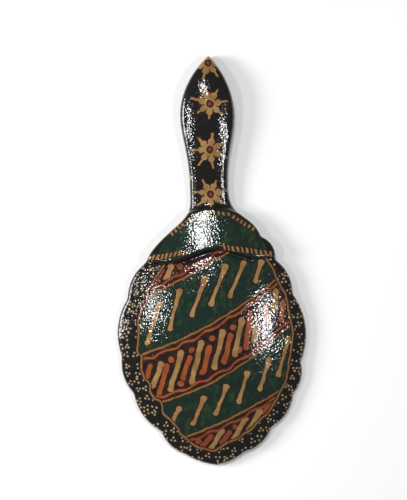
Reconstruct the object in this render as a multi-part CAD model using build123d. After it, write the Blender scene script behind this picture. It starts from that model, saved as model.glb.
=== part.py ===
from build123d import *
import os

# A hand mirror with a carved wooden body, seen from its domed back as it lies on its flat front.
# One plank gives the body its scalloped bowl, the raised collar across the shoulders and the
# leaf-shaped handle. An oval glass is stuck into a pocket in the front with five dabs of adhesive.
# The mirror is carved by hand, so its left and right sides differ a little.
#
# All sizes are in millimetres. While the pieces are made, X is measured from the axis and Y from the
# collar line, which joins the two corners where the bowl meets the collar. At the end everything is
# moved in X and Y, so that the origin lies on the front plane, under the middle of the mirror's box.
# +X is across the mirror, +Y runs along the handle to its tip, and +Z points out of the domed back.

# Lengths along the axis. Above the collar line each one starts where the one before it ends.
BOWL_LENGTH = 90.2  # from the collar line down to the bottom tip
COLLAR_LENGTH = 23.6  # up to the arched edge at the foot of the handle
NECK_LENGTH = 10.4  # up to the narrowest place of the handle
GRIP_LENGTH = 29.6  # up to the widest place of the handle
POINT_LENGTH = 26.6  # up to the handle's tip

# Widths across the axis.
BOWL_WIDTH = 81.0  # before the scallops swell past it
COLLAR_WIDTH = 56.6  # between the collar's lower corners
NECK_WIDTH = 16.7
HANDLE_WIDTH = 23.8
BOWL_TIP_OFFSET = 1.2  # how far the bottom tip stands to the right of the axis
HANDLE_TIP_OFFSET = 1.2  # and the handle's tip

# Heights of the back above the front plane, on the axis.
DOME_THICKNESS = 12.0
BOWL_TIP_THICKNESS = 3.6
COLLAR_THICKNESS = 12.6  # at the collar line
ARCH_THICKNESS = 8.9  # at the collar's arched edge
NECK_THICKNESS = 7.0
HANDLE_THICKNESS = 10.0  # at the widest place of the handle
HANDLE_TIP_THICKNESS = 7.0

# How far the back falls away from the axis to each side.
RIM_THICKNESS = 4.1  # the bowl, at half its width from the axis
COLLAR_SIDE_DROP = 4.6  # the collar, at its lower corners
HANDLE_SIDE_DROP = 2.4  # the handle, at its widest place

DOME_BELOW_COLLAR = 28.0  # from the collar line down to the top of the dome

# The scallops are arcs between notches. Each notch stands at a share of the bowl's half-width from
# the axis, and at a share of the bowl's length below the collar line.
RIGHT_NOTCHES = ((0.881, 0.166), (0.956, 0.500), (0.867, 0.656), (0.622, 0.818), (0.323, 0.937))
LEFT_NOTCHES = ((0.909, 0.175), (0.988, 0.457), (0.867, 0.637), (0.578, 0.825), (0.323, 0.941))
RIGHT_SCALLOP_RISE = 0.135  # the height of an arc, as a share of its chord
LEFT_SCALLOP_RISE = 0.120
TIP_SCALLOP_RISE = 0.06  # for the two scallops that meet in the bottom tip
SHOULDER_SCALLOP_RISE = 0.19  # for the right shoulder's scallop
NOTCH_ROUNDING = 1.0
BOWL_TIP_ROUNDING = 2.0

# Points of the shoulders, as shares of the way from the neck out to the collar's corner and of the
# way from the collar line up to the arched edge.
RIGHT_SHOULDER = ((0.70, 0.43), (0.48, 0.71), (0.19, 0.91))  # its notch, its bulge and its foot
LEFT_SHOULDER = ((0.795, 0.28), (0.365, 0.62), (0.08, 0.86))  # two places on its swell, its foot
RIGHT_SHOULDER_LEAN = 0.30  # how far a shoulder leans inwards where it starts, for each unit it climbs
LEFT_SHOULDER_LEAN = 0.35

# How far the pulls of the handle's curves reach, as shares of the stretch that each curve spans.
GRIP_PULLS = (0.44, 0.28)  # up from the neck, and down from the widest place
POINT_PULLS = (0.38, 0.72)  # up from the widest place, and up to the pull that bends it to the tip
POINT_FULLNESS = 0.60  # where that last pull stands, from the tip out to the widest place

# The collar's lower edge is a bracket that rises to a low peak, a little right of the axis. Its upper
# edge is an arch. Both run on past the body's sides.
BRACKET_PEAK_RISE = 4.8
BRACKET_PEAK_OFFSET = 3.5
BRACKET_SAG = 0.8  # how far its left half hangs below the collar line
BRACKET_RIGHT_RISE = 0.6  # how far its right half stands above that line
BRACKET_HALF_WAY = 0.7  # where those two places stand, as a share of the way to the corners
BRACKET_END_RISE = 1.2
ARCH_OFFSET = 1.2  # how far the top of the arch stands to the right of the axis
ARCH_HALF_WIDTH = 14.4
ARCH_DROP = 4.5  # how far the arch has come down at its ends

# Carved edges.
RIM_ROUNDING = 1.5
COLLAR_ROUNDING = 1.0
HANDLE_ROUNDING = 2.4
FRONT_ROUNDING = 0.8
GROOVE_WIDTH = 1.8  # the channel along the foot of the collar
GROOVE_DEPTH = 0.8

# The glass, its pocket and the adhesive.
FRAME_SIDE_WIDTH = 9.5  # wood beside the glass, before the scallops swell past it
FRAME_TOP_WIDTH = 2.0  # wood between the collar line and the glass
FRAME_TIP_WIDTH = 14.2  # wood between the glass and the bottom tip
GLASS_THICKNESS = 2.0
GLASS_EDGE_BEVEL = 0.3
GLASS_SETBACK = 0.5  # from the front plane to the face of the glass
POCKET_CLEARANCE = 0.4  # between the edge of the glass and the pocket's wall
POCKET_LIP_BEVEL = 0.4
ADHESIVE_THICKNESS = 0.5
ADHESIVE_DAB_RADIUS = 6.5
ADHESIVE_DAB_SPREAD = 0.52  # the outer dabs' distance from the middle, as a share of the glass

# The blocks that shape the body.
TIP_EASING = 6.0  # how far before its tip the handle's back turns down
TIP_EASING_DROP = 1.0  # and how much lower it is there than at its highest
TIP_SLOPE = 0.5  # how steeply the handle's back falls at its tip
HANDLE_BURIED_LENGTH = 4.0  # how far the handle runs on inside the collar
BOWL_BURIED_LENGTH = 7.9  # and the bowl
SPARE = 6.0  # how far a block stands past the outline that cuts it
BACK_ROWS = 16  # the spans of a back's surface along the axis
BACK_COLUMNS = 4  # and from the axis out to each side
BACK_TOLERANCE = 0.002
SAME_PLACE = 0.01  # two points nearer than this are one

NECK_Y = COLLAR_LENGTH + NECK_LENGTH
GRIP_Y = NECK_Y + GRIP_LENGTH
HANDLE_TIP_Y = GRIP_Y + POINT_LENGTH
COLLAR_CORNER = (COLLAR_WIDTH / 2, 0)
BOWL_TIP = (BOWL_TIP_OFFSET, -BOWL_LENGTH)
GLASS_BACK = GLASS_SETBACK + GLASS_THICKNESS
BLOCK_DEPTH = DOME_THICKNESS + COLLAR_THICKNESS


def flipped(point):
    """The same point on the other side of the axis."""
    return -point[0], point[1]


def notch(shares):
    """A notch of the right-hand edge, from its two shares."""
    return shares[0] * BOWL_WIDTH / 2, -shares[1] * BOWL_LENGTH


def scallop(start, end, rise):
    """An arc that swells out to the left of the way from start to end."""
    chord = (Vector(*end) - Vector(*start)).length
    return SagittaArc(start, end, rise * chord)


def shoulder_point(shares):
    """A point of the right-hand shoulder, from its two shares."""
    neck = NECK_WIDTH / 2
    return neck + shares[0] * (COLLAR_CORNER[0] - neck), shares[1] * COLLAR_LENGTH


def bowl_side(notches, rise, tip):
    """The bowl's right edge, from the collar's corner down to the bottom tip."""
    points = [COLLAR_CORNER, *notches]
    edges = [scallop(a, b, rise) for a, b in zip(points, points[1:])]
    return edges + [scallop(points[-1], tip, TIP_SCALLOP_RISE)]


def handle_side(tip):
    """The handle's right edge, from its narrowest place to its tip."""
    neck = (NECK_WIDTH / 2, NECK_Y)
    grip = (HANDLE_WIDTH / 2, GRIP_Y)
    swell = Bezier(
        neck,
        (neck[0], NECK_Y + GRIP_PULLS[0] * GRIP_LENGTH),
        (grip[0], GRIP_Y - GRIP_PULLS[1] * GRIP_LENGTH),
        grip,
    )
    point = Bezier(
        grip,
        (grip[0], GRIP_Y + POINT_PULLS[0] * POINT_LENGTH),
        (tip[0] + POINT_FULLNESS * (grip[0] - tip[0]), GRIP_Y + POINT_PULLS[1] * POINT_LENGTH),
        tip,
    )
    return [swell, point]


def outline():
    """The body's outline on the front plane, with its notches and its bottom tip rounded."""
    upward = (0, 1)
    right_lean = (-RIGHT_SHOULDER_LEAN, 1)
    left_lean = (-LEFT_SHOULDER_LEAN, 1)
    neck = (NECK_WIDTH / 2, NECK_Y)
    right_shoulder = [shoulder_point(shares) for shares in RIGHT_SHOULDER]
    left_shoulder = [shoulder_point(shares) for shares in LEFT_SHOULDER]
    right_notches = [notch(shares) for shares in RIGHT_NOTCHES]
    left_notches = [notch(shares) for shares in LEFT_NOTCHES]

    right = bowl_side(right_notches, RIGHT_SCALLOP_RISE, BOWL_TIP)
    right.append(scallop(right_shoulder[0], COLLAR_CORNER, SHOULDER_SCALLOP_RISE))
    right.append(Spline(*right_shoulder, neck, tangents=[right_lean, upward]))
    right += handle_side((HANDLE_TIP_OFFSET, HANDLE_TIP_Y))

    # The left edge is drawn on the right and flipped, so its two tips are flipped first.
    left = bowl_side(left_notches, LEFT_SCALLOP_RISE, flipped(BOWL_TIP))
    left.append(Spline(COLLAR_CORNER, *left_shoulder, neck, tangents=[left_lean, upward]))
    left += handle_side((-HANDLE_TIP_OFFSET, HANDLE_TIP_Y))
    left = mirror(Curve() + left, about=Plane.YZ).edges()

    face = make_face((Curve() + right + left).edges())
    corners = [COLLAR_CORNER, right_shoulder[0], *right_notches]
    corners += [flipped(point) for point in (COLLAR_CORNER, *left_notches)]
    face = fillet(vertices_at(face, corners), NOTCH_ROUNDING)
    return fillet(vertices_at(face, [BOWL_TIP]), BOWL_TIP_ROUNDING)


def vertices_at(shape, points):
    """The shape's corners that stand at these points of the front plane."""
    places = [Vector(*point) for point in points]

    def wanted(vertex):
        return any((Vector(vertex) - place).length < SAME_PLACE for place in places)

    return [vertex for vertex in shape.vertices() if wanted(vertex)]


def crowned_block(profile, side_drop, half_width):
    """The solid under a back that follows a side profile and falls away to each side.

    The profile is a curve over the axis. The back drops from it by side_drop at half_width, and
    in between as the square of the distance from the axis.
    """
    reach = BOWL_WIDTH / 2 + SPARE
    stations = [profile @ (i / BACK_ROWS) for i in range(BACK_ROWS + 1)]
    across = [reach * i / BACK_COLUMNS for i in range(-BACK_COLUMNS, BACK_COLUMNS + 1)]
    grid = [[(x, p.Y, p.Z - side_drop * (x / half_width) ** 2) for x in across] for p in stations]
    back = Face.make_surface_from_array_of_points(grid, tol=BACK_TOLERANCE, min_deg=3, max_deg=5)
    return extrude(back, amount=BLOCK_DEPTH + 2 * SPARE, dir=(0, 0, -1))


def bowl_block(sink=0):
    """The solid under the dome, or under the same dome sunk a little."""
    top_y = -DOME_BELOW_COLLAR
    reach = BOWL_LENGTH + SPARE - DOME_BELOW_COLLAR
    fall = (DOME_THICKNESS - BOWL_TIP_THICKNESS) / (BOWL_LENGTH - DOME_BELOW_COLLAR) ** 2
    stations = (top_y - reach, top_y, top_y + reach)
    points = [(0, y, DOME_THICKNESS - sink - fall * (y - top_y) ** 2) for y in stations]
    end_slope = 2 * fall * reach
    profile = Spline(*points, tangents=[(0, 1, end_slope), (0, 1, -end_slope)])
    return crowned_block(profile, DOME_THICKNESS - RIM_THICKNESS, BOWL_WIDTH / 2)


def collar_region(below=0):
    """The collar seen from above, past the body's sides, or the same with its lower edge lower."""
    side = BOWL_WIDTH / 2 + SPARE
    corner = COLLAR_CORNER[0]
    lower = Spline(
        (-side, BRACKET_END_RISE - below),
        (-corner, BRACKET_END_RISE - below),
        (-BRACKET_HALF_WAY * corner, -BRACKET_SAG - below),
        (BRACKET_PEAK_OFFSET, BRACKET_PEAK_RISE - below),
        (BRACKET_HALF_WAY * corner, BRACKET_RIGHT_RISE - below),
        (corner, BRACKET_END_RISE - below),
        (side, BRACKET_END_RISE - below),
    )
    arch_foot = COLLAR_LENGTH - ARCH_DROP
    right_foot = (ARCH_OFFSET + ARCH_HALF_WIDTH, arch_foot)
    left_foot = (ARCH_OFFSET - ARCH_HALF_WIDTH, arch_foot)
    upper = ThreePointArc(right_foot, (ARCH_OFFSET, COLLAR_LENGTH), left_foot)
    right = Polyline(lower @ 1, (side, arch_foot), right_foot)
    left = Polyline(left_foot, (-side, arch_foot), lower @ 0)
    return make_face((Curve() + [lower, right, upper, left]).edges())


def standing(face):
    """A prism on the front plane, taller than the body."""
    return extrude(face, amount=BLOCK_DEPTH, dir=(0, 0, 1))


def back_edges(solid):
    """The edges round the back of a block, where its walls end."""
    backs = [face for face in solid.faces() if face.normal_at().Z > 0.5]
    return max(backs, key=lambda face: face.area).outer_wire().edges()


def bowl(plan):
    """The scalloped bowl, which runs on under the collar and has a channel along its foot."""
    dome = split(plan & bowl_block(), Plane.XZ.offset(-BOWL_BURIED_LENGTH), keep=Keep.TOP)
    dome = fillet(back_edges(dome), RIM_ROUNDING)
    channel = standing(collar_region(GROOVE_WIDTH)) - bowl_block(GROOVE_DEPTH)
    return dome - channel


def collar(plan):
    """The raised collar, with its bracket-shaped lower edge and its arched upper edge."""
    slope = (ARCH_THICKNESS - COLLAR_THICKNESS) / COLLAR_LENGTH
    stations = (-SPARE, COLLAR_LENGTH / 2, COLLAR_LENGTH + SPARE)
    profile = Spline(*[(0, y, COLLAR_THICKNESS + slope * y) for y in stations])
    back = crowned_block(profile, COLLAR_SIDE_DROP, COLLAR_WIDTH / 2)
    block = plan & back & standing(collar_region())
    return fillet(back_edges(block), COLLAR_ROUNDING)


def handle(plan):
    """The leaf-shaped handle, which starts under the collar."""
    profile = Spline(
        (0, 0, NECK_THICKNESS),
        (0, NECK_Y, NECK_THICKNESS),
        (0, GRIP_Y, HANDLE_THICKNESS),
        (0, HANDLE_TIP_Y - TIP_EASING, HANDLE_THICKNESS - TIP_EASING_DROP),
        (0, HANDLE_TIP_Y, HANDLE_TIP_THICKNESS),
        (0, HANDLE_TIP_Y + SPARE, HANDLE_TIP_THICKNESS - TIP_SLOPE * SPARE),
    )
    start = COLLAR_LENGTH - HANDLE_BURIED_LENGTH
    block = plan & crowned_block(profile, HANDLE_SIDE_DROP, HANDLE_WIDTH / 2)
    block = split(block, Plane.XZ.offset(-start), keep=Keep.BOTTOM)
    sides = [edge for edge in back_edges(block) if edge.length > HANDLE_TIP_Y - start]
    return fillet(sides, HANDLE_ROUNDING)


def oval(border, low, high):
    """A prism over the glass's oval, this much wider all round, between two heights."""
    half_width = BOWL_WIDTH / 2 - FRAME_SIDE_WIDTH + border
    half_length = (BOWL_LENGTH - FRAME_TOP_WIDTH - FRAME_TIP_WIDTH) / 2 + border
    centre_y = -FRAME_TOP_WIDTH - (half_length - border)
    face = Pos(0, centre_y, low) * Ellipse(half_width, half_length)
    return extrude(face, amount=high - low, dir=(0, 0, 1))


def carved_body():
    """The wooden body, with its front edges eased and the pocket for the glass cut in."""
    plan = standing(outline())
    body = bowl(plan) + collar(plan) + handle(plan)
    front = body.faces().sort_by(Axis.Z)[0]
    body = fillet(front.outer_wire().edges(), FRONT_ROUNDING)
    body -= oval(POCKET_CLEARANCE, -SPARE, GLASS_BACK + ADHESIVE_THICKNESS)
    mouth = body.faces().sort_by(Axis.Z)[0].inner_wires()[0]
    return chamfer(mouth.edges(), POCKET_LIP_BEVEL)


def mirror_glass():
    """The oval glass, a little back from the front plane, with its edges bevelled."""
    glass = oval(0, GLASS_SETBACK, GLASS_BACK)
    return chamfer(glass.edges().filter_by(lambda edge: edge.is_closed), GLASS_EDGE_BEVEL)


def adhesive_dabs():
    """Five flat round dabs between the glass and the pocket's floor."""
    size = oval(0, GLASS_SETBACK, GLASS_BACK).bounding_box()
    reach_x = ADHESIVE_DAB_SPREAD * size.size.X / 2
    reach_y = ADHESIVE_DAB_SPREAD * size.size.Y / 2
    middle = Vector(size.center().X, size.center().Y, GLASS_BACK)
    places = [middle]
    places += [middle + Vector(0, side * reach_y, 0) for side in (-1, 1)]
    places += [middle + Vector(side * reach_x, 0, 0) for side in (-1, 1)]
    base = (Align.CENTER, Align.CENTER, Align.MIN)
    dab = Cylinder(ADHESIVE_DAB_RADIUS, ADHESIVE_THICKNESS, align=base)
    return Compound(children=[Pos(place) * dab for place in places])


def main():
    body = carved_body()
    span = body.bounding_box()
    centring = Pos(-span.center().X, -span.center().Y, 0)
    pieces = {
        "carved_body": body,
        "mirror_glass": mirror_glass(),
        "adhesive_dabs": adhesive_dabs(),
    }
    os.makedirs("parts", exist_ok=True)
    for name, piece in pieces.items():
        export_step(centring * piece, f"parts/{name}.step")


main()
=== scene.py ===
import math

import bmesh
import bpy
from mathutils import Matrix, Vector, noise


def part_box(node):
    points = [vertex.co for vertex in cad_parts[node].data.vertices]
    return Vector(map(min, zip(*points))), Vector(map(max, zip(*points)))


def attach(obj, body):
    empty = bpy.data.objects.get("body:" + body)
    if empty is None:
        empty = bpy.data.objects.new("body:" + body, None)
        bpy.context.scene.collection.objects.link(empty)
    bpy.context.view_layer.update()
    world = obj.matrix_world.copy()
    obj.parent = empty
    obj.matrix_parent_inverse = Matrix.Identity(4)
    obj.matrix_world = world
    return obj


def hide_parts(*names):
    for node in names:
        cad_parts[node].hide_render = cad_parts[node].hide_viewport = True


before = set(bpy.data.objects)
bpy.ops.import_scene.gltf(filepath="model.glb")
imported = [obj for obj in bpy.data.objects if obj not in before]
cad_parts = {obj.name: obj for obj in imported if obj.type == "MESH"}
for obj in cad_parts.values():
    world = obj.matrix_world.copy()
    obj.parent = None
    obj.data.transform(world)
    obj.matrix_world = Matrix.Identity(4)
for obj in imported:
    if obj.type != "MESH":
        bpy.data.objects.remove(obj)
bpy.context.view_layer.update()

bl_info = {
    "name": "Painted hand mirror",
    "version": (1, 0, 0),
    "blender": (4, 5, 0),
    "location": "3D Viewport > Sidebar > Hand Mirror",
    "description": "A carved wooden hand mirror with a wax-resist dyed back, built around its CAD frame",
    "category": "Object",
}

# The mirror lies glass side down. +Y runs along the handle, +Z points out of the painted back, and
# the collar line, where the bowl meets the raised collar, is where Y is 0. The painting is laid out
# in millimetres across the back, as (X, Y).

MM = 0.001
MERGE_DISTANCE = 0.001 * MM
CARVED_FROM = 2.0 * MM  # above this height the tool marks set in, over as much again
WOOD_NODE = "carved_body"
GLASS_NODE = "mirror_glass"
ADHESIVE_NODE = "adhesive_dabs"


def dye(red, green, blue):
    """A colour as a dye chart gives it, from 0 to 255, in linear light."""
    shares = [channel / 255 for channel in (red, green, blue)]
    return tuple(c / 12.92 if c <= 0.04045 else ((c + 0.055) / 1.055) ** 2.4 for c in shares)


# ---------------------------------------------------------------- the painting, in millimetres

# The wavering line that frames the bands, drawn round this centre.
MEDALLION_CENTRE = (1.5, -41.0)
MEDALLION_LINE = (
    (-20.4, -1.8), (-24.4, -7.1), (-27.5, -13.2), (-28.3, -17.2), (-30.3, -20.2), (-32.0, -26.0),
    (-32.1, -32.6), (-32.8, -38.3), (-31.1, -41.0), (-31.0, -45.9), (-30.3, -49.8), (-27.7, -53.4),
    (-27.4, -56.9), (-25.7, -59.6), (-23.1, -61.3), (-22.3, -65.9), (-19.3, -69.3), (-16.3, -72.2),
    (-14.4, -75.8), (-12.0, -77.8), (-8.6, -80.8), (-3.5, -82.8), (-1.4, -83.6), (1.9, -82.2),
    (6.0, -79.9), (9.1, -78.8), (12.8, -76.5), (16.8, -73.8), (19.6, -70.7), (24.0, -66.6),
    (27.7, -61.3), (33.3, -48.1), (34.3, -41.5), (35.4, -34.0), (35.0, -28.2), (33.6, -21.3),
    (32.6, -15.3), (29.7, -9.5), (27.2, -3.8), (24.5, 0.3),
)
MEDALLION_OPEN_TOP = ((21.0, 8.0), (2.0, 12.0), (-16.0, 8.0))  # where it runs on under the collar
MEDALLION_REACH = 60.0  # further out than any point of it
MEDALLION_HALF_WIDTH = 0.4
MEDALLION_OUTLINE = 0.95  # half the width of the brown that shows on both sides of it

# The slanting lines between the bands: the height on the axis, the slope and the curl.
BAND_LINES = (
    (-0.8, 0.545, 0.0008),
    (-27.2, 0.540, 0.0036),
    (-52.6, 0.500, 0.0054),
    (-72.2, 0.420, 0.0030),
)
BAND_LINE_HALF_WIDTH = 0.3
BAND_LINE_OUTLINE = 1.0
GUTTER_MIDDLE = 1.3  # of the brown strip on its red side
GUTTER_HALF_WIDTH = 1.5
BEADS_PER_MM = 0.9
BEAD_SWELL = 0.256  # how much wider the line is, on each side, in the middle of a bead
BEAD_NARROWING = 0.72  # how much it would narrow from there over a bead's whole length
WAVE_LENGTH = 9.3  # of the orange wave on the red side of a band line
WAVE_HEIGHT = 0.45
WAVE_DISTANCE = 2.1  # of the wave from the line
WAVE_HALF_WIDTH = 0.5

# Half a stroke's width, how much its ends swell, and how much narrower its lower end is.
GREEN_BAND_BRUSH = (0.86, 0.55, 0.25)
RED_BAND_BRUSH = (1.1, 0.35, 0.1)
ORANGE_BRUSH = (1.05, 0.15, 0.0)
TAN_OUTLINE = 0.55  # how far the brown shows round a tan stroke
ORANGE_OUTLINE = 0.5
HAND_WOBBLE = 1.5  # how far the painter's hand strays in all
WOBBLES_PER_MM = 0.22
RAGGEDNESS = 0.42  # of the edges of the wax

# The orange is bright round this height and turns to rust above and below it: above, a duller red of its
# own; below, painted shade, darker where the back leans away from the light.
BRIGHT_MIDDLE = -38.0
BRIGHT_HALF_HEIGHT = 20.0
DULLING_AND_SHADE = 0.06

# The strokes, each from its upper end to its lower end.
GREEN_BAND_STROKES = (
    ((-22.5, -18.5), (-28.2, -35.0)), ((-13.8, -12.9), (-18.2, -29.0)), ((-2.6, -7.8), (-8.4, -23.2)),
    ((6.5, -2.8), (-0.1, -18.6)), ((14.5, -1.3), (8.4, -15.2)), ((22.2, -1.1), (19.7, -9.0)),
    ((-15.2, -64.4), (-18.0, -69.7)), ((-4.1, -60.0), (-9.1, -70.8)), ((5.8, -55.1), (1.1, -66.6)),
    ((15.1, -49.4), (11.1, -61.3)), ((24.5, -43.8), (20.7, -56.5)), ((33.5, -35.0), (28.8, -50.5)),
)
RED_BAND_STROKES = (
    ((-22.4, -44.5), (-26.0, -53.8)), ((-13.5, -39.6), (-18.6, -55.6)), ((-4.7, -35.6), (-9.2, -52.5)),
    ((4.8, -31.2), (0.7, -46.0)), ((13.2, -26.3), (9.8, -40.5)), ((19.0, -29.5), (18.4, -35.0)),
    ((3.3, -74.8), (-1.8, -83.0)), ((13.8, -69.5), (8.7, -78.6)), ((20.0, -66.6), (15.2, -74.8)),
    ((-17.1, -2.3), (-19.0, -7.1)), ((28.9, -9.6), (25.2, -11.4)), ((28.6, -14.2), (27.7, -21.6)),
)
ORANGE_STROKES = (
    ((-27.3, -45.6), (-28.6, -50.0)), ((-20.0, -45.4), (-23.5, -57.8)), ((-9.9, -42.0), (-13.1, -50.7)),
    ((-1.3, -37.5), (-3.8, -47.0)), ((8.3, -32.5), (5.1, -43.8)), ((16.9, -23.5), (14.7, -38.0)),
    ((24.0, -20.5), (24.0, -27.0)), ((31.4, -19.0), (30.8, -26.4)),
    ((26.6, -60.0), (22.2, -67.0)), ((-10.0, -3.4), (-12.2, -5.2)),
    ((-1.5, -77.0), (-5.1, -81.0)), ((6.8, -75.7), (3.5, -80.0)), ((-21.0, -3.5), (-23.2, -7.5)),
)
ORANGE_DOTS = (
    (-17.9, -42.6), (-9.0, -38.4), (0.1, -33.6), (9.3, -28.9), (11.7, -39.0), (-14.1, -53.3),
    (-4.4, -48.2), (-7.0, -79.0), (9.3, -72.9), (-13.2, -2.1),
)
ORANGE_DOT_RADIUS = 1.3
TAN_DOTS = ((-8.9, -0.9), (-7.8, 36.8))
TAN_DOT_RADIUS = 1.0

# Seven-rayed stars: the middle, and the turn of the first ray in degrees.
STARS = (((1.4, 68.6), 7.8), ((0.9, 48.5), -25.3), ((0.8, 29.2), -38.2), ((1.1, 86.4), -57.5))
STAR_RAYS = 7
STAR_UNEVENNESS = 0.10  # how far a ray strays, as a share of the angle between two rays
STAR_PETAL_REACH = 3.7
STAR_PETAL_RADIUS = 1.4
STAR_HUB_RADIUS = 2.7
STAR_RAY_START = 2.0
STAR_RAY_END = 6.3
STAR_RAY_SPREAD = 2.6  # how much longer the longest ray is
STAR_RAY_HALF_WIDTH = 0.45
STAR_RING_RADIUS = 1.6
STAR_EYE_RADIUS = 0.7

# Rows of wax ticks round the collar: the row's two ends, how far a tick leans for each unit it is
# long, and half its length.
TICK_ROWS = (
    ((-27.5, 1.7), (-10.5, 3.9), 0.55, 1.05),
    ((5.0, 6.2), (27.5, 2.4), -0.45, 1.05),
    ((-17.2, 11.7), (-7.6, 19.0), 0.0, 0.7),
    ((9.8, 19.6), (20.0, 13.2), 0.0, 0.7),
    ((-7.6, 19.6), (1.2, 21.5), 0.3, 0.65),
    ((1.2, 21.5), (9.5, 20.0), -0.3, 0.65),
)
COLLAR_FOOT = (
    (-45.0, 1.2), (-28.3, 1.2), (-19.8, -0.8), (-12.0, 0.9), (-4.4, 3.4), (3.5, 4.8), (8.8, 3.6),
    (14.0, 1.6), (19.8, 0.6), (28.3, 1.2), (45.0, 1.2),
)
TICK_PITCH = 2.0
TICK_HALF_WIDTH = 0.42
ARCH_CENTRE = (1.2, -1.7)
ARCH_RADIUS = 25.3
COLLAR_MIDDLE = 15.0  # halfway up the collar
FOOT_EDGE = 1.1  # the black along the collar's foot
ARCH_EDGE = 1.0  # and along its arch

# The border's clusters of three small dots.
DOT_PITCH = 3.8
DOT_SCATTER = 0.55
DOT_RADIUS = 0.4
DOT_REACH = 0.72  # of a dot from the middle of its cluster
DOT_REACH_SPREAD = 0.35

# The front: how high its flat face and its pocket reach, and the wax line round the glass.
FRONT_HEIGHT = 0.9
POCKET_HEIGHT = 3.4
POCKET_BORDER = 0.7
WALL_SLOPE = 0.35  # a surface whose normal rises less than this is a side wall
GLASS_LINE_DISTANCE = 2.6
GLASS_LINE_HALF_WIDTH = 0.5
GLASS_LINE_OUTLINE = 1.0

# ---------------------------------------------------------------- the stage

# Soft lights: the angles across and along from the line straight out of the back, the width and
# height as the mirror sees them, in degrees, and the power in watts.
LIGHTS = {
    "left_softbox": (-31, 0.5, 3.0, 6, 0.6),
    "right_softbox": (29, -6, 3.6, 9, 1.1),
    "top_softbox": (-5, 17.5, 8, 5.5, 1.35),
    "low_softbox": (-62, 8, 22, 22, 4.2),
}
LIGHT_DISTANCE = 0.7
SKY_COLOUR = (0.98, 0.99, 1.0, 1)
FLOOR_HALF_SIZE = 2.0


# ---------------------------------------------------------------- node maths


class Field:
    """A value or colour that varies over a surface. Arithmetic on it adds Math nodes."""

    def __init__(self, finish, socket):
        self.finish = finish
        self.socket = socket

    def maths(self, operation, *others, clamp=False):
        values = dict(enumerate((self, *others)))
        return self.finish.node("ShaderNodeMath", {"operation": operation, "use_clamp": clamp}, values)

    def __add__(self, other):
        return self.maths("ADD", other)

    def __sub__(self, other):
        return self.maths("SUBTRACT", other)

    def __mul__(self, other):
        return self.maths("MULTIPLY", other)

    def __truediv__(self, other):
        return self.maths("DIVIDE", other)

    def __rsub__(self, other):
        return self.finish.node("ShaderNodeMath", {"operation": "SUBTRACT"}, {0: other, 1: self})

    def __abs__(self):
        return self.maths("ABSOLUTE")

    __radd__ = __add__
    __rmul__ = __mul__

    def least(self, other):
        return self.maths("MINIMUM", other)

    def most(self, other):
        return self.maths("MAXIMUM", other)

    def inside(self, softness=0.14):
        """1 where the value is below 0 and 0 where it is above, with a soft edge."""
        return self.stretched(-1 / softness, 0.5)

    def stretched(self, gain, offset):
        """The value times a gain, plus an offset, kept from 0 to 1."""
        return self.maths("MULTIPLY_ADD", gain, offset, clamp=True)

    def vector(self, operation, *others):
        """Vector Math on it. The vector and the number that the node gives are both returned."""
        values = dict(enumerate((self, *others)))
        settings = {"operation": operation}
        return self.finish.node("ShaderNodeVectorMath", settings, values, output=(0, 1))


class Finish:
    """A material as it is put together from nodes."""

    def __init__(self, name):
        self.material = bpy.data.materials.new(name)
        self.material.use_nodes = True
        self.tree = self.material.node_tree
        self.tree.nodes.clear()
        place, self.outward = self.node("ShaderNodeTexCoord", output=("Object", "Normal"))
        self.place = self.scaled(place, 1 / MM)

    def node(self, kind, settings=None, values=None, output=0):
        """Adds a node: its settings first, then the values or links of its sockets.

        It gives back the output that is asked for, or a list of them for a tuple.
        """
        made = self.tree.nodes.new(kind)
        for name, setting in (settings or {}).items():
            if name == "points":
                self.set_points(made.mapping, setting)
            else:
                setattr(made, name, setting)
        for name, value in (values or {}).items():
            if isinstance(value, Field):
                self.tree.links.new(value.socket, made.inputs[name])
            else:
                made.inputs[name].default_value = value
        if isinstance(output, tuple):
            return [Field(self, made.outputs[name]) for name in output]
        return Field(self, made.outputs[output])

    def set_points(self, mapping, points):
        """Draws a curve through points, between the two that it has from the start."""
        curve = mapping.curves[0]
        curve.points[0].location = points[0]
        curve.points[1].location = points[-1]
        for point in points[1:-1]:
            curve.points.new(*point)
        mapping.update()

    def scaled(self, vector, factor):
        """A vector times a number."""
        return self.node("ShaderNodeVectorMath", {"operation": "SCALE"}, {0: vector, "Scale": factor})

    def axes(self, vector):
        """The three parts of a vector."""
        return self.node("ShaderNodeSeparateXYZ", None, {0: vector}, output=(0, 1, 2))

    def noise(self, place, size, detail=2.0, roughness=0.5, stretch=(1, 1, 1), seed=0.0):
        """Smooth noise from 0 to 1 whose lumps are about this many millimetres across."""
        scale = tuple(s / size for s in stretch)
        moved = place.vector("MULTIPLY_ADD", scale, (seed, seed * 1.7, seed * 2.3))[0]
        values = {"Vector": moved, "Scale": 1.0, "Detail": detail, "Roughness": roughness}
        return self.node("ShaderNodeTexNoise", None, values)

    def mix(self, below, above, factor):
        """One colour over another."""
        values = {0: factor, 6: self.colour(below), 7: self.colour(above)}
        return self.node("ShaderNodeMix", {"data_type": "RGBA"}, values, output=2)

    def colour(self, value):
        """A colour socket's value: a field as it is, or a plain colour with its alpha."""
        return value if isinstance(value, Field) else (*value, 1)

    def curve(self, value, points, low, high):
        """A curve through the listed points, between two values of each axis."""
        span = (high[0] - low[0], high[1] - low[1])
        shares = [((x - low[0]) / span[0], (y - low[1]) / span[1]) for x, y in points]
        share = (value - low[0]) / span[0]
        drawn = self.node("ShaderNodeFloatCurve", {"points": shares}, {"Value": share})
        return drawn * span[1] + low[1]

    def surface(self, values):
        """Ends the material in a Principled shader. Its constants are set on its own sockets."""
        shader = self.node("ShaderNodeBsdfPrincipled", None, values)
        self.node("ShaderNodeOutputMaterial", None, {"Surface": shader}, output=())
        return self.material


# ---------------------------------------------------------------- the painted lacquer


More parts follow.
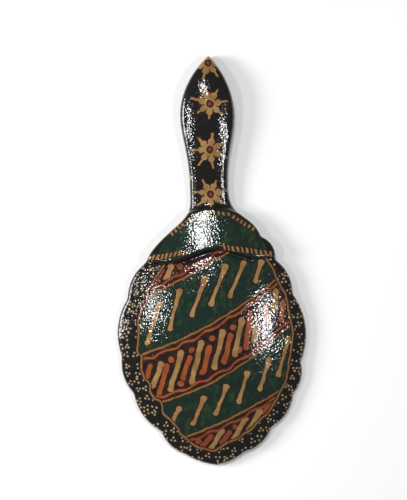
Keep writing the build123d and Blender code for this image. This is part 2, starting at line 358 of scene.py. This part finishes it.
def stroke_distance(place, start, end, half_width, swell, taper):
    """How far a point is from a brush stroke. Its ends swell, and it tapers towards its lower end."""
    first = Vector((*start, 0))
    run = Vector((*end, 0)) - first
    away = place.vector("SUBTRACT", tuple(first))[0]
    along = away.vector("DOT_PRODUCT", tuple(run / run.length_squared))[1].maths("ADD", 0.0, clamp=True)
    on_line = place.finish.scaled(tuple(run), along)
    towards_end = along.maths("MULTIPLY_ADD", 2.0, -1.0).maths("POWER", 4.0)
    width = along * -taper + towards_end.maths("MULTIPLY_ADD", swell, half_width)
    return away.vector("DISTANCE", on_line)[1] - width


def dot_distance(place, centre, radius):
    """How far a point is from a round dot."""
    return place.vector("DISTANCE", (*centre, 0))[1] - radius


def nearest(distances):
    """The least of several distances, taken one by one, so that few of them wait at a time."""
    found = None
    for distance in distances:
        found = distance if found is None else found.least(distance)
    return found


def star_distance(finish, place, centre, turn, seed):
    """How far a point is from a seven-rayed star."""
    away = place.vector("SUBTRACT", (*centre, 0))[0]
    reach = away.vector("LENGTH")[1]
    x, y, _ = finish.axes(away)
    sector = math.tau / STAR_RAYS
    turned = (y.maths("ARCTAN2", x) - math.radians(turn)) / sector
    ray = turned.maths("ROUND")
    jitter = finish.node("ShaderNodeTexWhiteNoise", {"noise_dimensions": "1D"}, {"W": ray + seed})
    leaning = (turned - ray + (jitter - 0.5) * STAR_UNEVENNESS) * sector
    along = reach * leaning.maths("COSINE")
    across = abs(reach * leaning.maths("SINE"))
    tip = jitter * STAR_RAY_SPREAD + STAR_RAY_END
    outward = along - STAR_PETAL_REACH
    petal = (outward * outward + across * across).maths("SQRT") - STAR_PETAL_RADIUS
    beyond = (along - tip).most(0)
    needle = (beyond * beyond + across * across).maths("SQRT") - STAR_RAY_HALF_WIDTH
    needle = needle.most(STAR_RAY_START - along)
    return petal.least(needle).least(reach - STAR_HUB_RADIUS)


def tick_distance(place, start, end, lean, half_length):
    """How far a point is from a row of short ticks that stand across a line."""
    first = Vector((*start, 0))
    run = Vector((*end, 0)) - first
    ahead = run.normalized()
    side = Vector((-ahead.y, ahead.x, 0))
    count = max(1, round(run.length / TICK_PITCH))
    spacing = run.length / count
    away = place.vector("SUBTRACT", tuple(first))[0]
    along = away.vector("DOT_PRODUCT", tuple(ahead))[1]
    across = away.vector("DOT_PRODUCT", tuple(side))[1]
    leaned = (along - across * lean) / spacing
    in_cell = abs(leaned.maths("FRACT") - 0.5) * spacing
    tick = (in_cell - TICK_HALF_WIDTH).most(abs(across) - half_length)
    return tick.most(0 - along).most(along - run.length)


def border_dots(finish, place):
    """How far a point is from the small wax dots, which lie in clusters of three."""
    values = {"Vector": place, "Scale": 1 / DOT_PITCH, "Randomness": DOT_SCATTER}
    settings = {"voronoi_dimensions": "2D"}
    centre = finish.node("ShaderNodeTexVoronoi", settings, values, output=2)
    jitter = finish.node("ShaderNodeTexWhiteNoise", {"noise_dimensions": "2D"}, {"Vector": centre})
    x, y, _ = finish.axes(place.vector("SUBTRACT", centre)[0])
    reach = (x * x + y * y).maths("SQRT")
    sector = math.tau / 3
    turned = y.maths("ARCTAN2", x) / sector + jitter * 3.0
    leaning = (turned - turned.maths("ROUND")) * sector
    along = reach * leaning.maths("COSINE") - (jitter * DOT_REACH_SPREAD + DOT_REACH)
    across = reach * leaning.maths("SINE")
    return (along * along + across * across).maths("SQRT") - DOT_RADIUS


def mixed_paints(finish, colours, y):
    """The dyes as they lie on the wood, each with its own clouding; towards the lower end the orange
    turns to rust as painted shade.
    """
    patchy = finish.noise(finish.place, 5.0, 3.0, 0.6, seed=3.0)
    tan = finish.mix(colours["pale_tan"], colours["tan"], patchy.stretched(3.0, -1.0))
    # The rust share of the orange: patchy thick dye, a duller red towards the top, and painted shade
    # towards the lower end.
    dull_top_shaded_bottom = (abs(y - BRIGHT_MIDDLE) - BRIGHT_HALF_HEIGHT).stretched(DULLING_AND_SHADE, 0.0)
    thick = (patchy * 3.0 - 1.1 + dull_top_shaded_bottom).maths("ADD", 0.0, clamp=True)
    orange = finish.mix(colours["orange"], colours["rust"], thick)
    line = finish.mix(colours["tan"], colours["rust"], patchy.stretched(4.0, -2.1))
    brushed = finish.noise(finish.place, 2.6, 3.0, 0.65, stretch=(1.0, 0.5, 1.0), seed=7.0)
    green = finish.mix(colours["green"], colours["light_green"], brushed.stretched(5.0, -2.5))
    smoky = finish.noise(finish.place, 3.0, 3.0, 0.6, seed=11.0)
    red_ground = finish.mix(colours["black"], colours["rust_shadow"], smoky.stretched(3.0, -1.2))
    return {**colours, "tan": tan, "orange": orange, "line": line, "green": green,
            "red_ground": red_ground, "brushed": brushed}


def painted_bands(finish, flat, paint, ragged):
    """The medallion's slanting bands, and how far outside its line a point is."""
    x, y, _ = finish.axes(flat)
    centred = flat.vector("SUBTRACT", (*MEDALLION_CENTRE, 0))[0]
    cx, cy, _ = finish.axes(centred)
    rim = medallion_radius(finish, cy.maths("ARCTAN2", cx))
    medallion = centred.vector("LENGTH")[1] - rim
    sides = [band_side(x, y, line) for line in BAND_LINES]
    first_green = sides[0].most(0 - sides[1])
    second_green = sides[2].most(0 - sides[3])
    green_area = first_green.least(second_green)
    colour = finish.mix(paint["red_ground"], paint["green"], green_area.inside())

    green_strokes = nearest(stroke_distance(flat, *s, *GREEN_BAND_BRUSH) for s in GREEN_BAND_STROKES)
    red_strokes = nearest(stroke_distance(flat, *s, *RED_BAND_BRUSH) for s in RED_BAND_STROKES)
    orange_strokes = nearest(stroke_distance(flat, *s, *ORANGE_BRUSH) for s in ORANGE_STROKES)
    orange_dots = nearest(dot_distance(flat, dot, ORANGE_DOT_RADIUS) for dot in ORANGE_DOTS)
    tan_strokes = green_strokes.least(red_strokes) + ragged
    warm_strokes = orange_strokes.least(orange_dots) + ragged
    outlines = (tan_strokes - TAN_OUTLINE).least(warm_strokes - ORANGE_OUTLINE)
    colour = finish.mix(colour, paint["brown"], outlines.inside(0.4))
    colour = finish.mix(colour, paint["orange"], warm_strokes.inside())
    colour = finish.mix(colour, paint["tan"], tan_strokes.inside())

    # The lines between the bands: a beaded wax line, and an orange wave on its red side.
    for index, side in enumerate(sides):
        red_side = side if index % 2 == 0 else 0 - side
        wave = (x * (math.tau / WAVE_LENGTH)).maths("SINE") * WAVE_HEIGHT + WAVE_DISTANCE
        edge = abs(side) + ragged * 0.6
        gutter = (abs(red_side - GUTTER_MIDDLE) - GUTTER_HALF_WIDTH).least(edge - BAND_LINE_OUTLINE)
        colour = finish.mix(colour, paint["brown"], gutter.inside(0.3))
        wave_edge = abs(red_side - wave) - WAVE_HALF_WIDTH + ragged
        colour = finish.mix(colour, paint["orange"], wave_edge.inside())
        from_bead = abs((x * BEADS_PER_MM).maths("FRACT") - 0.5)
        swell = from_bead.maths("MULTIPLY_ADD", -BEAD_NARROWING, BEAD_SWELL)
        beaded = edge - BAND_LINE_HALF_WIDTH - swell
        colour = finish.mix(colour, paint["line"], beaded.inside(0.3))
    return colour, medallion


def painted_collar(finish, flat, arch, foot, paint, ragged):
    """The green collar between its black edges, with its rows of ticks."""
    edge = (foot - FOOT_EDGE).least(0 - arch - ARCH_EDGE).inside(0.4)
    colour = finish.mix(paint["green"], paint["black"], edge)
    ticks = nearest(tick_distance(flat, *row) for row in TICK_ROWS) + ragged * 0.5
    colour = finish.mix(colour, paint["brown"], (ticks - 0.5).inside(0.3))
    return finish.mix(colour, paint["tan"], ticks.inside(0.45))


def painted_handle(finish, flat, paint, ragged):
    """The black handle with its stars and stray dots."""
    stars = nearest(
        star_distance(finish, flat, *star, seed=9.0 * index) for index, star in enumerate(STARS)
    )
    dots = nearest(dot_distance(flat, dot, TAN_DOT_RADIUS) for dot in TAN_DOTS)
    waxed = stars.least(dots) + ragged
    middle = nearest(dot_distance(flat, centre, 0.0) for centre, _ in STARS)
    colour = finish.mix(paint["black"], paint["brown"], (waxed - 0.5).inside(0.3))
    colour = finish.mix(colour, paint["tan"], waxed.inside())
    colour = finish.mix(colour, paint["rust_shadow"], (middle - STAR_RING_RADIUS).inside(0.2))
    return finish.mix(colour, paint["rust"], (middle - STAR_EYE_RADIUS).inside(0.3))


def painted_front(finish, flat, y, specks, paint, ragged):
    """The flat front with a wax line round the glass, and how far outside the glass a point is."""
    glass_low, glass_high = (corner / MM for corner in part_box(GLASS_NODE))
    middle = (glass_low + glass_high) / 2
    half = (glass_high - glass_low) / 2
    oval = flat.vector("SUBTRACT", (middle.x, middle.y, 0))[0]
    oval = oval.vector("DIVIDE", (half.x, half.y, 1))[0]
    outside_glass = (oval.vector("LENGTH")[1] - 1) * ((half.x + half.y) / 2)
    colour = finish.mix(specks, paint["black"], (COLLAR_MIDDLE - y).inside(0.5))
    from_line = abs(outside_glass - GLASS_LINE_DISTANCE)
    colour = finish.mix(colour, paint["brown"], (from_line - GLASS_LINE_OUTLINE).inside(0.3))
    line = from_line - GLASS_LINE_HALF_WIDTH + ragged * 0.5
    colour = finish.mix(colour, paint["tan"], line.inside())
    bare = finish.mix(paint["wood"], paint["wood_shadow"], paint["brushed"])
    in_pocket = outside_glass - POCKET_BORDER
    return finish.mix(colour, bare, in_pocket.inside(0.2)), in_pocket


def painted_lacquer(colours):
    """The wax-resist painting under its varnish."""
    finish = Finish("painted_lacquer")
    values = {"Vector": finish.place, "Scale": WOBBLES_PER_MM, "Detail": 2.0}
    wobble = finish.node("ShaderNodeTexNoise", None, values, output=1)
    half = -HAND_WOBBLE / 2
    nudge = wobble.vector("MULTIPLY_ADD", (HAND_WOBBLE, HAND_WOBBLE, 0), (half, half, 0))[0]
    flat = finish.place.vector("MULTIPLY_ADD", (1, 1, 0), nudge)[0]
    x, y, _ = finish.axes(flat)
    _, _, height = finish.axes(finish.place)
    ragged = (finish.noise(finish.place, 0.9, 2.0, 0.6) - 0.5) * RAGGEDNESS
    paint = mixed_paints(finish, colours, y)
    colour, medallion = painted_bands(finish, flat, paint, ragged)

    # Outside the medallion, clusters of dots on black.
    dots = border_dots(finish, flat) + ragged * 0.5
    specks = finish.mix(paint["black"], paint["dot_tan"], dots.inside(0.35))
    colour = finish.mix(specks, colour, medallion.inside())
    ring = abs(medallion) + ragged * 0.7
    colour = finish.mix(colour, paint["brown"], (ring - MEDALLION_OUTLINE).inside(0.3))
    colour = finish.mix(colour, paint["line"], (ring - MEDALLION_HALF_WIDTH).inside())

    foot = y - finish.curve(x, COLLAR_FOOT, (-45.0, -3.0), (45.0, 7.0))
    arch = dot_distance(flat, ARCH_CENTRE, ARCH_RADIUS)
    collar = painted_collar(finish, flat, arch, foot, paint, ragged)
    colour = finish.mix(colour, collar, (0 - foot).inside())
    handle = painted_handle(finish, flat, paint, ragged)
    colour = finish.mix(colour, handle, (0 - arch).most(COLLAR_MIDDLE - y).inside())
    front, in_pocket = painted_front(finish, flat, y, specks, paint, ragged)
    on_front = (height - FRONT_HEIGHT).inside(0.3)
    under_glass = in_pocket.most(height - POCKET_HEIGHT).inside(0.1)
    colour = finish.mix(colour, front, on_front.most(under_glass))

    # The steep side walls have the dye and no wax.
    _, _, upward = finish.axes(finish.outward)
    wall = (abs(upward) - WALL_SLOPE).inside(0.2) * height.maths("GREATER_THAN", FRONT_HEIGHT)
    colour = finish.mix(colour, paint["black"], wall)

    # The lacquer lies in a fine orange-peel skin over slow swells, with duller pits.
    grain = finish.noise(finish.place, 0.8, 0.0, 0.5, seed=5.0)
    swells = finish.noise(finish.place, 6.0, 1.0, 0.5, seed=9.0)
    relief = grain * 0.08 + swells * 0.05
    bump = finish.node("ShaderNodeBump", None, {"Height": relief, "Distance": MM, "Strength": 1.0})
    pits = finish.noise(finish.place, 1.0, 1.0, 0.5, seed=13.0).stretched(5.0, -2.4)
    return finish.surface({
        "Base Color": colour, "Roughness": pits * 0.12 + 0.05, "Normal": bump,
        "IOR": 1.5, "Coat Weight": 0.05, "Coat Roughness": 0.1,
    })


def medallion_radius(finish, angle):
    """The medallion's radius at an angle round its centre."""
    points = []
    for x, y in (*MEDALLION_LINE, *MEDALLION_OPEN_TOP):
        dx, dy = x - MEDALLION_CENTRE[0], y - MEDALLION_CENTRE[1]
        points.append((math.atan2(dy, dx), math.hypot(dx, dy)))
    points.sort()
    seam = (points[0][1] + points[-1][1]) / 2
    points = [(-math.pi, seam), *points, (math.pi, seam)]
    return finish.curve(angle, points, (-math.pi, 0.0), (math.pi, MEDALLION_REACH))


def band_side(x, y, line):
    """How far above a slanting line a point is."""
    height, slope, curl = line
    along = x * (x * curl + slope) + height
    return (y - along) * (1 / math.hypot(1, slope))


# ---------------------------------------------------------------- the other finishes


def silvered_glass(colours):
    """Mirror glass: silver behind its face, ground green edges, and backing paint behind."""
    finish = Finish("silvered_glass")
    low, high = (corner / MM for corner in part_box(GLASS_NODE))
    _, _, height = finish.axes(finish.place)
    bevel = 0.3
    faded = (height - low.z - bevel * 0.5).inside(0.1)
    backing = (high.z - bevel * 0.5 - height).inside(0.1)
    cloud = finish.noise(finish.place, 9.0, 4.0, 0.6)
    silver = finish.mix(colours["silver"], colours["silver_shadow"], cloud)
    colour = finish.mix(colours["glass_edge"], silver, faded)
    colour = finish.mix(colour, colours["backing"], backing)
    roughness = 0.30 - faded * 0.28 + cloud * 0.02
    return finish.surface({"Base Color": colour, "Metallic": faded, "Roughness": roughness, "IOR": 1.52})


def contact_adhesive(colours):
    """Dried amber adhesive."""
    finish = Finish("contact_adhesive")
    cloud = finish.noise(finish.place, 2.5, 4.0, 0.6)
    colour = finish.mix(colours["adhesive"], colours["adhesive_shadow"], cloud)
    bump = finish.node("ShaderNodeBump", None, {"Height": cloud * 0.2, "Distance": MM, "Strength": 0.5})
    return finish.surface(
        {"Base Color": colour, "Roughness": cloud * 0.2 + 0.3, "Normal": bump, "IOR": 1.45}
    )


def pale_floor(colours):
    """A matt pale board."""
    finish = Finish("pale_board")
    cloud = finish.noise(finish.place, 60.0, 3.0, 0.5)
    colour = finish.mix(colours["floor"], colours["floor_shade"], cloud)
    return finish.surface({"Base Color": colour, "Roughness": cloud * 0.1 + 0.7})


# ---------------------------------------------------------------- settings


def colour_property(name, description, default):
    return bpy.props.FloatVectorProperty(
        name=name, description=description, subtype="COLOR", size=3, min=0, max=1, default=default
    )


class HandMirrorPaints(bpy.types.PropertyGroup):
    """The dyes, the wax and the other colours."""

    black: colour_property("Black dye", "The dark ground of the rim and the handle", dye(22, 20, 19))
    green: colour_property("Green dye", "The green bands and the collar", dye(19, 38, 31))
    light_green: colour_property("Brushed green", "Where the green dye is thin", dye(40, 62, 34))
    tan: colour_property("Tan ground", "What the wax kept bare", dye(130, 96, 56))
    pale_tan: colour_property("Pale tan", "The cleanest part of the tan ground", dye(158, 125, 78))
    dot_tan: colour_property("Dot tan", "The small dots of the border", dye(166, 146, 112))
    orange: colour_property("Orange dye", "The strokes of the red bands", dye(150, 77, 36))
    # Rust also stands for painted shade on the orange towards the lower end of the bands.
    rust: colour_property("Rust", "Where the orange dye is thick", dye(122, 58, 36))
    rust_shadow: colour_property("Rust shadow", "The smoky red in the ground", dye(58, 29, 22))
    brown: colour_property("Brown outline", "Where the dye crept under the wax", dye(44, 22, 14))
    wood: colour_property("Bare wood", "The pocket behind the glass", dye(190, 158, 116))
    wood_shadow: colour_property("Bare wood grain", "Its darker grain", dye(150, 116, 80))
    silver: colour_property("Silver", "The mirror's silvering", dye(236, 240, 240))
    silver_shadow: colour_property("Silver cloud", "Where it has dulled a little", dye(222, 228, 228))
    glass_edge: colour_property("Glass edge", "The ground edge of the glass", dye(120, 160, 146))
    backing: colour_property("Backing paint", "The paint behind the silver", dye(92, 84, 78))
    adhesive: colour_property("Adhesive", "The dabs behind the glass", dye(186, 146, 78))
    adhesive_shadow: colour_property("Adhesive shadow", "Where a dab is thick", dye(132, 92, 44))
    floor: colour_property("Floor", "The board under the mirror", dye(253, 253, 252))
    floor_shade: colour_property("Floor shade", "Its faint clouding", dye(248, 249, 248))


class HandMirrorShape(bpy.types.PropertyGroup):
    """How the carved body is finished by hand."""

    voxel: bpy.props.FloatProperty(
        name="Mesh size", description="How fine the carved mesh is", unit="LENGTH", default=0.6 * MM
    )
    smoothing: bpy.props.IntProperty(
        name="Sanding", description="Passes that ease the carved edges", default=3, min=0, max=20
    )
    carving: bpy.props.FloatProperty(
        name="Carving", description="How deep the tool marks are", unit="LENGTH", default=0.12 * MM
    )
    carving_size: bpy.props.FloatProperty(
        name="Carving size", description="How wide a tool mark is", unit="LENGTH", default=9 * MM
    )


class HandMirrorStage(bpy.types.PropertyGroup):
    """The floor, the lights and the camera."""

    focal_length: bpy.props.FloatProperty(
        name="Focal length", description="Of the camera, in millimetres", default=115.2
    )
    distance: bpy.props.FloatProperty(
        name="Camera distance", description="From the mirror", unit="LENGTH", default=0.7045
    )
    tilt: bpy.props.FloatProperty(
        name="Tilt", description="Of the view towards the handle", unit="ROTATION",
        default=math.radians(0.5),
    )
    roll: bpy.props.FloatProperty(
        name="Roll", description="Of the picture", unit="ROTATION", default=math.radians(1.3)
    )
    aim: bpy.props.FloatVectorProperty(
        name="Aim", description="The point in the middle of the picture", subtype="TRANSLATION",
        size=3, default=(-2.8 * MM, 4.85 * MM, 3 * MM),
    )
    fill: bpy.props.FloatProperty(name="Fill light", description="From all round", default=0.19)


SETTINGS = (HandMirrorPaints, HandMirrorShape, HandMirrorStage)


def paints():
    settings = bpy.context.scene.hand_mirror_paints
    return {name: tuple(getattr(settings, name)) for name in settings.bl_rna.properties.keys()
            if name not in ("rna_type", "name")}


# ---------------------------------------------------------------- operators


def sanded_mesh(source, shape):
    """The carved body as one even mesh, with its edges eased and faint tool marks on its back."""
    mesh = source.data.copy()
    shell = bmesh.new()
    shell.from_mesh(mesh)
    bmesh.ops.remove_doubles(shell, verts=shell.verts, dist=MERGE_DISTANCE)
    shell.to_mesh(mesh)
    shell.free()
    block = bpy.data.objects.new("sanding_block", mesh)
    bpy.context.scene.collection.objects.link(block)
    remesh = block.modifiers.new("even", "REMESH")
    remesh.mode = "VOXEL"
    remesh.voxel_size = shape.voxel
    graph = bpy.context.evaluated_depsgraph_get()
    even = bpy.data.meshes.new_from_object(block.evaluated_get(graph))
    bpy.data.objects.remove(block)
    body = bmesh.new()
    body.from_mesh(even)
    for _ in range(shape.smoothing):
        bmesh.ops.smooth_vert(
            body, verts=body.verts, factor=0.5, use_axis_x=True, use_axis_y=True, use_axis_z=True
        )
    body.normal_update()
    for vertex in body.verts:
        risen = min(1.0, max(0.0, vertex.co.z / CARVED_FROM - 1.0))
        on_back = risen * max(0.0, vertex.normal.z)
        mark = noise.noise(vertex.co / shape.carving_size)
        vertex.co += vertex.normal * (mark * on_back * shape.carving)
    for face in body.faces:
        face.smooth = True
    body.to_mesh(even)
    body.free()
    return even


class HANDMIRROR_OT_carved_body(bpy.types.Operator):
    """Sand and paint the carved wooden body"""

    bl_idname = "hand_mirror.carved_body"
    bl_label = "Carved body"
    bl_options = {"REGISTER", "UNDO"}

    def execute(self, context):
        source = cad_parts[WOOD_NODE]
        mesh = sanded_mesh(source, context.scene.hand_mirror_shape)
        if not mesh.polygons:
            raise RuntimeError("the carved body has no faces after sanding")
        mesh.materials.clear()
        mesh.materials.append(painted_lacquer(paints()))
        piece = bpy.data.objects.new("painted_body", mesh)
        context.scene.collection.objects.link(piece)
        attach(piece, "root")
        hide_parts(WOOD_NODE)
        return {"FINISHED"}


class HANDMIRROR_OT_glass(bpy.types.Operator):
    """Silver the mirror glass"""

    bl_idname = "hand_mirror.glass"
    bl_label = "Mirror glass"
    bl_options = {"REGISTER", "UNDO"}

    def execute(self, context):
        coat_node(GLASS_NODE, silvered_glass(paints()))
        return {"FINISHED"}


class HANDMIRROR_OT_adhesive(bpy.types.Operator):
    """Colour the dabs of adhesive behind the glass"""

    bl_idname = "hand_mirror.adhesive"
    bl_label = "Adhesive dabs"
    bl_options = {"REGISTER", "UNDO"}

    def execute(self, context):
        coat_node(ADHESIVE_NODE, contact_adhesive(paints()))
        return {"FINISHED"}


def coat_node(name, material):
    """Gives a CAD node its finish. Its mesh stays as it is."""
    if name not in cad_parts:
        raise RuntimeError(f"the frame has no node named {name}")
    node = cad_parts[name]
    for material_slot in node.material_slots:
        material_slot.material = material


def facing(outward):
    """The turn that points a light's or a camera's back this way, with +Y up in its picture."""
    back = Vector(outward).normalized()
    right = Vector((0, 1, 0)).cross(back).normalized()
    return Matrix((right, back.cross(right), back)).transposed()


def add_light(name, across, along, width, height, power):
    """An area light that faces the mirror."""
    slopes = math.tan(math.radians(across)), math.tan(math.radians(along))
    direction = Vector((*slopes, 1)).normalized()
    light = bpy.data.lights.new(name, "AREA")
    light.shape = "RECTANGLE"
    light.size = 2 * LIGHT_DISTANCE * math.tan(math.radians(width) / 2)
    light.size_y = 2 * LIGHT_DISTANCE * math.tan(math.radians(height) / 2)
    light.energy = power
    lamp = bpy.data.objects.new(name, light)
    lamp.location = direction * LIGHT_DISTANCE
    lamp.rotation_mode = "QUATERNION"
    lamp.rotation_quaternion = facing(direction).to_quaternion()
    bpy.context.scene.collection.objects.link(lamp)


class HANDMIRROR_OT_stage(bpy.types.Operator):
    """Lay the floor and set the lights and the camera"""

    bl_idname = "hand_mirror.stage"
    bl_label = "Stage"
    bl_options = {"REGISTER", "UNDO"}

    def execute(self, context):
        scene = context.scene
        settings = scene.hand_mirror_stage
        board = bmesh.new()
        bmesh.ops.create_grid(board, x_segments=1, y_segments=1, size=FLOOR_HALF_SIZE)
        mesh = bpy.data.meshes.new("floor")
        board.to_mesh(mesh)
        board.free()
        mesh.materials.append(pale_floor(paints()))
        floor = bpy.data.objects.new("floor", mesh)
        scene.collection.objects.link(floor)

        for name, light in LIGHTS.items():
            add_light(name, *light)
        world = bpy.data.worlds.new("studio")
        world.use_nodes = True
        sky = world.node_tree.nodes["Background"]
        sky.inputs["Color"].default_value = SKY_COLOUR
        sky.inputs["Strength"].default_value = settings.fill
        scene.world = world
        scene.view_settings.view_transform = "Standard"

        camera = bpy.data.cameras.new("camera")
        camera.lens = settings.focal_length
        camera.clip_start = 0.01
        stand = bpy.data.objects.new("camera", camera)
        outward = Vector((0, math.sin(settings.tilt), math.cos(settings.tilt)))
        stand.location = Vector(settings.aim) + outward * settings.distance
        roll = Matrix.Rotation(-settings.roll, 3, "Z")
        stand.rotation_mode = "QUATERNION"
        stand.rotation_quaternion = (facing(outward) @ roll).to_quaternion()
        scene.collection.objects.link(stand)
        scene.camera = stand
        return {"FINISHED"}


OPERATORS = (
    HANDMIRROR_OT_carved_body,
    HANDMIRROR_OT_glass,
    HANDMIRROR_OT_adhesive,
    HANDMIRROR_OT_stage,
)


class HANDMIRROR_PT_panel(bpy.types.Panel):
    """The hand mirror's settings and steps"""

    bl_idname = "HANDMIRROR_PT_panel"
    bl_label = "Hand mirror"
    bl_space_type = "VIEW_3D"
    bl_region_type = "UI"
    bl_category = "Hand Mirror"

    def draw(self, context):
        scene = context.scene
        for group in (scene.hand_mirror_shape, scene.hand_mirror_paints, scene.hand_mirror_stage):
            box = self.layout.box()
            for name in group.bl_rna.properties.keys():
                if name not in ("rna_type", "name"):
                    box.prop(group, name)
        for operator in OPERATORS:
            self.layout.operator(operator.bl_idname)


CLASSES = (*SETTINGS, *OPERATORS, HANDMIRROR_PT_panel)


def register():
    for made in CLASSES:
        bpy.utils.register_class(made)
    bpy.types.Scene.hand_mirror_paints = bpy.props.PointerProperty(type=HandMirrorPaints)
    bpy.types.Scene.hand_mirror_shape = bpy.props.PointerProperty(type=HandMirrorShape)
    bpy.types.Scene.hand_mirror_stage = bpy.props.PointerProperty(type=HandMirrorStage)


def unregister():
    del bpy.types.Scene.hand_mirror_stage
    del bpy.types.Scene.hand_mirror_shape
    del bpy.types.Scene.hand_mirror_paints
    for made in reversed(CLASSES):
        bpy.utils.unregister_class(made)


def main():
    register()
    bpy.ops.hand_mirror.carved_body()
    bpy.ops.hand_mirror.glass()
    bpy.ops.hand_mirror.adhesive()
    bpy.ops.hand_mirror.stage()


if __name__ == "__main__":
    main()
